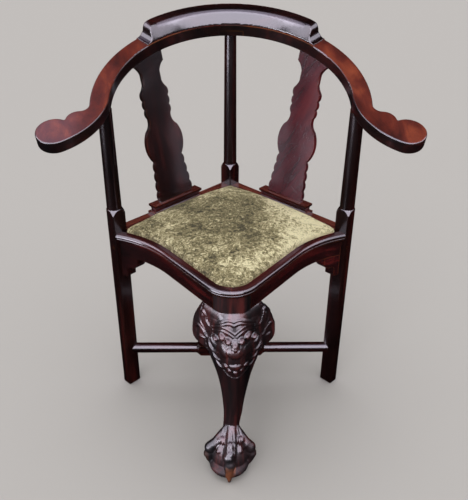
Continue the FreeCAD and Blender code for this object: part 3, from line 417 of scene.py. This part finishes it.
def mask_relief(x, z):
    """Height of the carving at each place across and up."""
    across = np.stack([-np.abs(x - MASK_MIDDLE), z], 1)
    relief = np.zeros(len(x))
    for form in broad_forms:
        relief += knob(across, *form)
    for bead in beads:
        relief = np.maximum(relief, knob(across, *bead))
    for lines, rise, width in ridges:
        for points in lines:
            relief = np.maximum(relief, ridge(across, points, rise, width))
    for points, rise, width in grooves:
        relief += ridge(across, points, rise, width)
    for pit in pits:
        relief += knob(across, *pit)
    return np.maximum(relief, ridge(across, collar, COLLAR_RISE, COLLAR_WIDTH, taper=False))


def rising(value, start, width):
    """0 up to the start, then up to 1 over the width."""
    return np.clip((value - start) / width, 0, 1)


def falling(value, end, width):
    """1, then down to 0 over the width before the end."""
    return np.clip((end - value) / width, 0, 1)


def carve(piece):
    """Raises the carving on whatever faces forwards between collar and rail, then leans the leg."""
    points = points_of(piece.data)
    x, y, z = points.T / MM
    y = y - leg_axis_y / MM
    under_turn = (z < KNEE_TURN_Z) * (KNEE_TURN_Z - z) * KNEE_TURN_SLOPE
    in_front = np.clip((-y + KNEE_FACE_Y + under_turn) / FACE_FADE, 0, 1)
    height = mask_relief(x, z) * in_front * (z > CARVING_BOTTOM) * (z < CARVING_TOP)
    outward = np.stack([x * 0.9, y - KNEE_CORE_Y, np.zeros(len(x))], 1)
    outward /= np.linalg.norm(outward, axis=1)[:, None]
    points += outward * height[:, None] * MM
    points[:, 0] += np.interp(z, *zip(*LEAN)) * MM
    set_points(piece.data, points)
    raised = piece.data.attributes.new("raised", "FLOAT", "POINT")
    raised.data.foreach_set("value", np.clip(height / FULLY_RAISED, 0, 1).astype(np.float32))


# The toes' joints from the ankle to the talon's tip: each one's place and radius. The ball is worn
# flat and wide where it stands.
def side_toe(side):
    return (((side * 7, -230, 96), 10), ((side * 30, -246, 68), 12), ((side * 42, -248, 57), 12.5),
            ((side * 46, -249, 48.5), 8.5), ((side * 46, -250, 41), 10.5),
            ((side * 44, -251, 28), 7.5), ((side * 36, -252, 8), 4))


front_toe = (((0, -232, 98), 12), ((-1, -262, 73), 13), ((-2, -279, 59), 14), ((-2, -286, 49), 9.5),
             ((-2, -287, 40), 12), ((-2, -290, 28), 8.5), ((-2, -289, 18), 8), ((-2, -294, 5), 3.5))
left_web = (((-14, -236, 84), 10), ((-22, -262, 60), 8))
right_web = (((12, -236, 84), 10), ((20, -262, 60), 8))
ball = (((-2, -245, 38), 38.5), ((-2, -270, 22), 20))
sole = ((-2, -255, 19), (42, 40, 18))
foot_rods = []
for chain in (side_toe(-1), side_toe(1), front_toe, left_web, right_web, ball):
    for (start, start_radius), (end, end_radius) in zip(chain, chain[1:]):
        foot_rods.append((start, end, start_radius, end_radius))

SINEW_PITCH = 6.0
SINEW_DEPTH = 1.2


def crease_foot(piece):
    """Cuts the sinews over the top of the foot, where they run down to the toes."""
    points = points_of(piece.data)
    x, y, z = points.T / MM
    window = rising(z, 66, 8) * falling(z, 104, 10) * (y < -225)
    fanned = x / (1 + np.clip(100 - z, 0, 60) / 45)
    sinew = np.cos(2 * math.pi * fanned / SINEW_PITCH)
    points[:, 1] -= (sinew * window * falling(np.abs(x), 26, 8)) * SINEW_DEPTH * MM
    set_points(piece.data, points)


def rub_foot(piece):
    """Marks where the polish is worn through, most on the front toe, and where it is dulled."""
    points = points_of(piece.data)
    x, y, z = points.T / MM
    front_wear = falling(np.abs(x + 2), 14, 5) * falling(z, 52, 8) * (y < -262)
    side_wear = rising(np.abs(x), 42, 8) * falling(z, 60, 10) * (y < -235)
    dulled = falling(z, 66, 12)
    worn = np.maximum(front_wear * 0.55 + side_wear * 0.3, dulled * 0.2)
    marks = piece.data.attributes.new("rubbed", "FLOAT", "POINT")
    marks.data.foreach_set("value", worn.astype(np.float32))


def carved_wood():
    """Dark polished mahogany, redder on raised carving and dull to worn where it is rubbed."""
    finish = Finish("carved_mahogany")
    along = finish.mapped(rotation=UPRIGHT)
    streak = finish.noise(finish.mapped(scale=(0.1, 1, 1), source=along), 42.0, 5.0, 0.6, 0.3)
    cloud = finish.noise(finish.place, 24.0)
    rubbed = finish.attribute("rubbed")
    raised = finish.attribute("raised")
    tones = [(0.34, DARK), (0.52, colour(44, 16, 17)), (0.68, colour(92, 32, 30))]
    wood = finish.ramp(streak, tones)
    wood = finish.mix(finish.spread(raised, 0.35, 0.9, 0.0, 0.45), wood, RUSSET)
    worn_through = finish.spread(rubbed, 0.2, 0.55, 0.0, 0.5)
    wood = finish.mix(finish.times(worn_through, finish.spread(cloud, 0.35, 0.6)), wood, WORN)
    dull = finish.spread(rubbed, 0.0, 0.2, 0.34, 0.6)
    coat = finish.spread(rubbed, 0.0, 0.18, 0.35, 0.04)
    gleam = finish.spread(rubbed, 0.0, 0.2, 0.5, 0.22)
    finish.shine(Base_Color=wood, Roughness=dull, Coat_Weight=coat, Coat_Roughness=0.2, IOR=1.5,
                 Specular_IOR_Level=gleam)
    finish.relief(streak, 0.08, 0.4 * MM)
    return finish.material


mask_wood = carved_wood()
for node in ("front_leg", "left_knee_ear", "right_knee_ear"):
    foot = (foot_rods, sole) if node == "front_leg" else ()
    carving = remeshed("carved_" + node, node, LEG_VOXEL, LEG_SMOOTHING, *foot)
    carve(carving)
    crease_foot(carving)
    rub_foot(carving)
    carving.data.materials.append(mask_wood)
    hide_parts(node)
    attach(carving, "chair_frame")


# Seat rails
# Straight rails behind and serpentine rails in front, tenoned and pegged into the legs. The front
# rails carry a moulded lip, and a small shaped bracket is glued under each beside the side leg.

ALONG_RIGHT_BACK = (0, 0, math.radians(45))
ALONG_LEFT_BACK = (0, 0, math.radians(-45))
RAIL_TONES = (colour(22, 7, 8), colour(46, 13, 15), colour(104, 26, 26))
# Tones for faces that look up: painted light from above on rails, shoes and lips.
RAIL_LIT_TOPS = (colour(44, 16, 16), colour(84, 34, 29), colour(128, 64, 50))
LIP_LIT_TOPS = (colour(38, 14, 14), colour(68, 26, 25), colour(104, 44, 40))

right_rail_wood = polished_wood("rail_mahogany_right", ALONG_RIGHT_BACK, RAIL_TONES, RAIL_LIT_TOPS)
left_rail_wood = polished_wood("rail_mahogany_left", ALONG_LEFT_BACK, RAIL_TONES, RAIL_LIT_TOPS)
dress(["right_back_rail"], right_rail_wood)
dress(["left_back_rail"], left_rail_wood)
for side, grain in (("left", ALONG_RIGHT_BACK), ("right", ALONG_LEFT_BACK)):
    dress([side + "_front_rail", side + "_seat_moulding", side + "_leg_bracket"],
          polished_wood("lip_mahogany_" + side, grain, RAIL_TONES, LIP_LIT_TOPS))
dress(["rail_pegs"], leg_wood)


# Corner blocks and their screws
# Rough blocks of pale softwood, glued and screwed into three corners of the seat frame, out of
# sight. The crest's screws and the seat's tacks are of the same old steel.

def bare_wood():
    finish = Finish("bare_pine")
    streak = finish.noise(finish.mapped(scale=(1, 1, 0.1)), 60.0, 5.0, 0.6, 0.5)
    stain = finish.noise(finish.place, 30.0, 4.0)
    wood = finish.ramp(streak, [(0.3, colour(118, 82, 48)), (0.7, colour(168, 128, 82))])
    wood = finish.mix(finish.spread(stain, 0.45, 0.75, 0.0, 0.6), wood, colour(74, 48, 30))
    finish.shine(Base_Color=wood, Roughness=0.8)
    finish.relief(streak, 0.4, 0.6 * MM)
    return finish.material


def steel():
    finish = Finish("old_steel")
    spots = finish.noise(finish.place, 420.0, 4.0)
    metal = finish.ramp(spots, [(0.4, colour(96, 90, 84)), (0.65, colour(78, 52, 38))])
    finish.shine(Base_Color=metal, Roughness=0.45, Metallic=0.9)
    return finish.material


pine = bare_wood()
dress(["left_corner_block", "right_corner_block", "back_corner_block"], pine)
dress(["corner_block_screws", "crest_screws", "cover_tacks"], steel())


# Crossing stretchers
# Two turned stretchers of the legs' mahogany with square middles, halved across each other and
# pinned into the legs.

dress(["side_stretcher"], polished_wood("stretcher_mahogany_across", (0, 0, 0)))
dress(["depth_stretcher"], polished_wood("stretcher_mahogany_deep", (0, 0, math.radians(90))))


# Splats and their shoes
# Flat vase splats with lobed edges, cut from figured boards and let into moulded shoes on the back
# rails. The right one's board is redder, and its figure runs aslant.

ASLANT = (0, math.radians(70), math.radians(20))
RED_BOARD = (colour(34, 8, 14), colour(84, 20, 30), colour(118, 36, 40))

dress(["left_splat"], polished_wood("splat_mahogany_left", UPRIGHT, streaks=26.0, seed=2.0))
dress(["right_splat"],
      polished_wood("splat_mahogany_right", ASLANT, RED_BOARD, streaks=22.0, seed=4.0))
dress(["right_splat_shoe"], right_rail_wood)
dress(["left_splat_shoe"], left_rail_wood)


# Arm bow and crest
# Two flat shaped arms, halved together behind the sitter, with the crest screwed on over the joint.
# The tops are a lighter red-brown, partly rubbed by hands and partly painted light from above, with
# golden rubbed edges.

ARM_GRAIN = (0, math.radians(10), math.radians(80))
# Tones for the arms' upward faces: hand rubbing and painted light from above.
ARM_LIT_AND_RUBBED_TOPS = (colour(54, 17, 12), colour(106, 36, 21), colour(158, 70, 36))
GOLDEN = colour(206, 132, 74)
dress(["left_arm", "right_arm"],
      polished_wood("arm_mahogany", ARM_GRAIN, lit_tops=ARM_LIT_AND_RUBBED_TOPS, wear=0.4, wear_tone=GOLDEN,
                    streaks=30.0, polish=0.28))

CREST_VOXEL = 1.8 * MM
CREST_SMOOTHING = 3
ARM_SLOPE = math.radians(22)
# How far the crest's top leans back in mm, how late in its rise it turns, how deep behind its face
# the turn reaches in mm, and where it fades out before each end in degrees.
ROLL = 13.0
ROLL_CURVE = 1.8
ROLL_DEPTH = 30
END_MARGIN, END_FADE = 2, 6


def round_crest_face(piece):
    """Turns the crest's hollow face over towards its top in one long soft curve."""
    points = points_of(piece.data)
    y, z = points[:, 1], points[:, 2]
    rise = z * math.cos(ARM_SLOPE) - y * math.sin(ARM_SLOPE)
    share = np.clip((rise - rise.min()) / np.ptp(rise), 0, 0.995)
    back = ROLL * (1 - np.sqrt(1 - share ** ROLL_CURVE))
    away = points[:, :2] - np.array([0, leg_axis_y])
    reach = np.linalg.norm(away, axis=1)
    depth = np.clip((reach.max() - reach) / MM / ROLL_DEPTH, 0, 1)
    turn = np.degrees(np.abs(np.arctan2(away[:, 0], away[:, 1])))
    inside = np.clip((turn.max() - turn - END_MARGIN) / END_FADE, 0, 1)
    points[:, :2] += away / reach[:, None] * (back * depth * inside * MM)[:, None]
    set_points(piece.data, points)


crest = remeshed("crest", "crest_rail", CREST_VOXEL, CREST_SMOOTHING)
round_crest_face(crest)
crest.data.materials.append(polished_wood("crest_mahogany", (0, 0, 0), streaks=24.0, seed=1.0))
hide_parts("crest_rail")
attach(crest, "chair_frame")


# Drop-in seat
# A halved frame of pale wood with jute webbing and hessian under hair stuffing, covered in crushed
# olive velvet that is drawn over the edge and tacked underneath. The whole seat lifts out.

def woven(name, tone, dark, threads):
    finish = Finish(name)
    weave = finish.add("ShaderNodeTexWave", wave_type="BANDS", bands_direction="DIAGONAL")
    weave.inputs["Scale"].default_value = threads
    weave.inputs["Distortion"].default_value = 1.5
    finish.put(weave.inputs["Vector"], finish.place)
    cloth = finish.ramp(weave.outputs["Fac"], [(0.2, dark), (0.8, tone)])
    finish.shine(Base_Color=cloth, Roughness=0.9)
    finish.relief(weave.outputs["Fac"], 0.5, 0.5 * MM)
    return finish.material


dress(["seat_back_left_bar", "seat_back_right_bar", "seat_front_left_bar", "seat_front_right_bar"],
      pine)
dress(["webbing"], woven("jute_webbing", colour(150, 120, 78), colour(96, 72, 44), 220.0))
dress(["base_cloth"], woven("hessian", colour(160, 134, 92), colour(112, 88, 56), 320.0))

SEAT_MIDDLE = (-0.02, 0.04, 0.44)
PILE_TONES = ((0.39, colour(50, 46, 25)), (0.46, colour(98, 90, 57)),
              (0.53, colour(152, 140, 100)), (0.61, colour(232, 222, 180)))


def velvet():
    """Crushed velvet: fine swirls and patches of pile, with painted sheen making it lighter on the
    right and at the rim.
    """
    finish = Finish("olive_velvet")
    swirl = finish.noise(finish.place, 125.0, 5.0, 0.75, 1.2)
    patch = finish.noise(finish.place, 15.0, 4.0, 0.55, 0.6)
    crushed = finish.plus(finish.times(swirl, 0.7), finish.times(patch, 0.3))
    # Painted sheen: the pile grows lighter towards the right.
    split = finish.add("ShaderNodeSeparateXYZ")
    finish.put(split.inputs[0], finish.place)
    painted_sheen_right = finish.spread(split.outputs["X"], 0.03, 0.17, -0.01, 0.07)
    # Painted sheen along the rim, where the velvet turns over the edge.
    from_middle = finish.add("ShaderNodeVectorMath", operation="DISTANCE")
    finish.put(from_middle.inputs[0], finish.place)
    from_middle.inputs[1].default_value = SEAT_MIDDLE
    rim = finish.spread(from_middle.outputs["Value"], 0.04, 0.2, -0.02, 0.03)
    pile = finish.ramp(finish.plus(crushed, finish.plus(painted_sheen_right, rim)), PILE_TONES)
    finish.shine(Base_Color=pile, Roughness=0.85, Specular_IOR_Level=0.2, Sheen_Weight=0.12,
                 Sheen_Roughness=0.4, Sheen_Tint=colour(232, 226, 176))
    finish.relief(swirl, 0.8, 2 * MM)
    return finish.material


# Above the cut the cushion is blown up, and below it the velvet keeps close to the seat's frame.
SEAT_CUT = 430.6 * MM
HELD_MARGIN = 3 * MM
CUSHION_VOXEL = 5 * MM
STUFFING_PRESSURE = 4
CLOTH_STEPS = 20
PUFF_LIMIT = 6 * MM
SIDEWAYS_SHARE = 0.35


def crown():
    """The stuffed top of the seat, swelled by a short cloth simulation."""
    shell = bmesh.new()
    for node in ("seat_cover", "seat_pad"):
        shell.from_mesh(merged_copy(node))
    piece = new_piece("crown", mesh_from(shell, "crown"))
    voxel_skin(piece, CUSHION_VOXEL)
    finished(piece)
    start = points_of(piece.data)
    low = [i for i, point in enumerate(start) if point[2] < SEAT_CUT + HELD_MARGIN]
    piece.vertex_groups.new(name="held").add(low, 1.0, "REPLACE")
    cloth = piece.modifiers.new("stuffing", "CLOTH")
    cloth.settings.use_pressure = True
    cloth.settings.uniform_pressure_force = STUFFING_PRESSURE
    cloth.settings.vertex_group_mass = "held"
    cloth.settings.effector_weights.gravity = 0
    scene = bpy.context.scene
    for step in range(1, CLOTH_STEPS + 1):
        scene.frame_set(step)
    finished(piece)
    scene.frame_set(1)
    moved = points_of(piece.data) - start
    far = np.linalg.norm(moved, axis=1)
    moved *= np.minimum(1, PUFF_LIMIT / np.maximum(far, 1e-9))[:, None]
    moved[:, :2] *= SIDEWAYS_SHARE
    set_points(piece.data, start + moved)
    smooth = piece.modifiers.new("smooth", "SUBSURF")
    smooth.levels = smooth.render_levels = 1
    return finished(piece)


def cut_at_rebate(mesh, above):
    """Keeps what lies above or below the top of the seat's wooden frame, and closes the cut."""
    shell = bmesh.new()
    shell.from_mesh(mesh)
    bmesh.ops.remove_doubles(shell, verts=shell.verts, dist=1e-6)
    everything = shell.verts[:] + shell.edges[:] + shell.faces[:]
    cut = bmesh.ops.bisect_plane(shell, geom=everything, plane_co=(0, 0, SEAT_CUT),
                                 plane_no=(0, 0, 1), clear_inner=above, clear_outer=not above)
    rim = [part for part in cut["geom_cut"] if isinstance(part, bmesh.types.BMEdge)]
    bmesh.ops.triangle_fill(shell, edges=rim, use_beauty=True, normal=(0, 0, -1 if above else 1))
    bmesh.ops.recalc_face_normals(shell, faces=shell.faces)
    shell.to_mesh(mesh)
    shell.free()
    return mesh


def cushion_body():
    """The crown, and the velvet drawn down round the frame's edge and turned in under it."""
    shell = bmesh.new()
    top = crown()
    shell.from_mesh(cut_at_rebate(top.data, above=True))
    shell.from_mesh(cut_at_rebate(merged_copy("seat_cover"), above=False))
    bpy.data.objects.remove(top)
    return new_piece("velvet_cushion", mesh_from(shell, "velvet_cushion"))


cushion = cushion_body()
cushion.data.materials.append(velvet())
shade_smooth(cushion)
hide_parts("seat_cover", "seat_pad")
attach(cushion, "drop_seat")
cushion.visible_glossy = False


# Studio
# A plain pale floor under an even sky and two broad suns. Panels that only the polish shows stand
# in for the bright windows of a room; floor, sky, suns and velvet are kept out of the polish.

BACKDROP = colour(190, 186, 183)
FLOOR_HALF = 30.0
SKY_LEVEL = 0.8

floor_corners = [(x * FLOOR_HALF, y * FLOOR_HALF, 0)
                 for x, y in ((-1, -1), (1, -1), (1, 1), (-1, 1))]
floor_mesh = bpy.data.meshes.new("floor")
floor_mesh.from_pydata(floor_corners, [], [(0, 1, 2, 3)])
floor = new_piece("floor", floor_mesh)
paper = Finish("backdrop_paper")
paper.shine(Base_Color=BACKDROP, Roughness=1.0, Specular_IOR_Level=0.0)
floor.data.materials.append(paper.material)
floor.visible_glossy = False


def lamp_object(lamp, tone, facing_back):
    """Puts a lamp in the scene. It shines away from the direction given."""
    lamp.color = tone
    light = bpy.data.objects.new(lamp.name, lamp)
    bpy.context.scene.collection.objects.link(light)
    light.rotation_euler = facing_back.to_track_quat("Z", "Y").to_euler()
    return light


def sun(name, strength, angle, azimuth, elevation, tone):
    """A broad soft light from a direction, azimuth 0 being in front and 90 on the right."""
    lamp = bpy.data.lights.new(name, "SUN")
    lamp.energy = strength
    lamp.angle = math.radians(angle)
    turn = math.radians(azimuth)
    rise = math.radians(elevation)
    source = Vector((math.sin(turn) * math.cos(rise), -math.cos(turn) * math.cos(rise),
                     math.sin(rise)))
    lamp_object(lamp, tone, source).visible_glossy = False


def softbox(name, place, target, size, radiance, tone):
    """A large soft panel that shows as a sheen in the polish and doesn't change the light level."""
    lamp = bpy.data.lights.new(name, "AREA")
    lamp.shape = "RECTANGLE"
    lamp.size, lamp.size_y = size
    lamp.energy = radiance * math.pi * size[0] * size[1]
    light = lamp_object(lamp, tone, Vector(place) - Vector(target))
    light.location = place
    light.visible_camera = False
    light.visible_diffuse = False


COOL, WHITE, VIOLET = (0.98, 0.98, 1.0), (1, 1, 1), (0.90, 0.85, 1.0)
CREST_FACE = (0, 0.2, 0.9)
sun("overhead_light", 0.6, 50, 200, 72, COOL)
sun("front_light", 0.38, 40, -25, 38, WHITE)
softbox("pad_panel", (-1.14, 0.85, 2.6), (-1.14, 0.85, 0), (0.72, 0.9), 1.5, (0.80, 0.70, 1.0))
softbox("front_panel", (0, -2.6, 2.3), (0, 0.3, 0.9), (4.8, 3.2), 7.5, VIOLET)
softbox("front_top_panel", (0, -0.9, 3.1), (0, 0, 0.9), (4.0, 1.6), 3.2, (0.86, 0.76, 1.0))
softbox("left_high_panel", (-2.7, -0.6, 2.6), CREST_FACE, (3.4, 2.4), 5.5, VIOLET)
softbox("right_high_panel", (2.7, -0.6, 2.6), CREST_FACE, (3.4, 2.4), 4.5, VIOLET)
softbox("left_low_panel", (-2.4, -1.7, 0.5), (0, -0.2, 0.3), (2.0, 1.0), 14.0, (0.90, 0.86, 1.0))

world = bpy.data.worlds.new("studio")
world.use_nodes = True
tree = world.node_tree
path = tree.nodes.new("ShaderNodeLightPath")
shade = tree.nodes.new("ShaderNodeMix")
shade.data_type = "RGBA"
tree.links.new(path.outputs["Is Camera Ray"], shade.inputs[MIX_FACTOR])
shade.inputs[MIX_FIRST].default_value = (SKY_LEVEL, SKY_LEVEL, SKY_LEVEL, 1)
shade.inputs[MIX_SECOND].default_value = BACKDROP
tree.links.new(shade.outputs[MIX_RESULT], tree.nodes["Background"].inputs["Color"])
world.cycles_visibility.glossy = False
bpy.context.scene.world = world

CAMERA_PLACE = (-0.0136, -1.1930, 1.0970)
PITCH = math.radians(30.47)
YAW = math.radians(0.97)
CAMERA_ROLL = math.radians(-0.39)

lens = bpy.data.cameras.new("camera")
lens.lens = 45.56
lens.sensor_width = 36
camera = bpy.data.objects.new("camera", lens)
bpy.context.scene.collection.objects.link(camera)
bpy.context.scene.camera = camera
ahead = Vector((math.sin(YAW) * math.cos(PITCH), math.cos(YAW) * math.cos(PITCH), -math.sin(PITCH)))
right = Vector((math.cos(YAW), -math.sin(YAW), 0))
down = ahead.cross(right)
rolled_right = math.cos(CAMERA_ROLL) * right + math.sin(CAMERA_ROLL) * down
rolled_down = math.cos(CAMERA_ROLL) * down - math.sin(CAMERA_ROLL) * right
turn = Matrix((rolled_right, -rolled_down, -ahead)).transposed()
camera.matrix_world = Matrix.Translation(CAMERA_PLACE) @ turn.to_4x4()
bpy.context.scene.view_settings.view_transform = "Standard"
